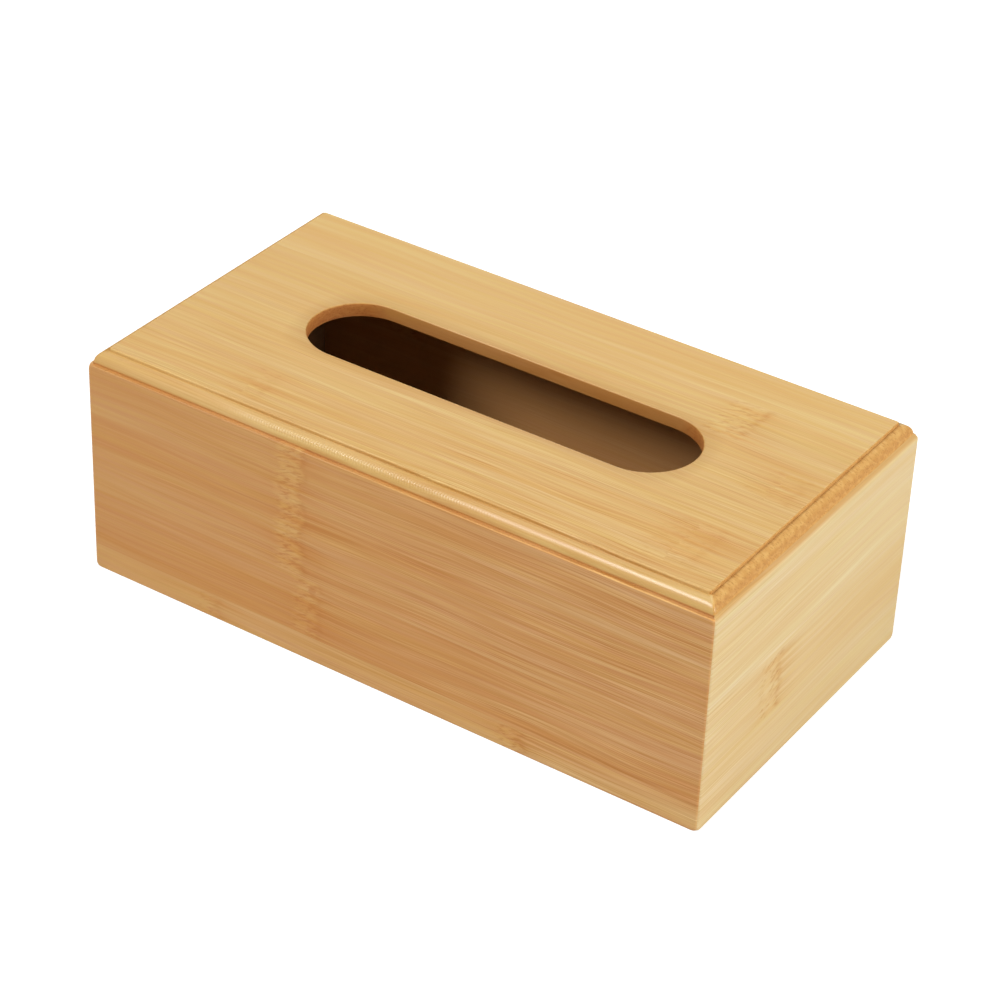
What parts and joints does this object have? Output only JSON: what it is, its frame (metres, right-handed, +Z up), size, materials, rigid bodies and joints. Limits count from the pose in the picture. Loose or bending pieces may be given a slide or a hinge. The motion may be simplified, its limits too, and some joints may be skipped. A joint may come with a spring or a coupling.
{
  "type": "tissue box cover",
  "caption": "Rectangular bamboo tissue box cover with a moulded top edge, a long rounded slot and a base that slides out of one end.",
  "frame": {"origin": "middle of the footprint, on the surface that the box stands on", "axes": "+X along the box towards the end that the base does not leave by, -Y to the front, +Z up"},
  "size_m": [0.255, 0.1366, 0.0912],
  "materials": {
    "lacquered_bamboo": "satin clear lacquer over honey-coloured laminated bamboo",
    "plain_bamboo": "sanded bamboo without lacquer"
  },
  "bodies": {
    "box": {"top_plate": "lacquered_bamboo", "front_wall": "lacquered_bamboo", "right_wall": "lacquered_bamboo", "back_wall": "lacquered_bamboo", "left_wall": "lacquered_bamboo", "front_left_spline": "plain_bamboo", "front_right_spline": "plain_bamboo", "back_left_spline": "plain_bamboo", "back_right_spline": "plain_bamboo"},
    "base": {"base_panel": "plain_bamboo", "pull_rail": "lacquered_bamboo"}
  },
  "joints": [
    {"name": "base_slide", "type": "slide", "parent": "box", "child": "base", "axis": [-1, 0, 0], "range_m": [0, 0.252]}
  ]
}
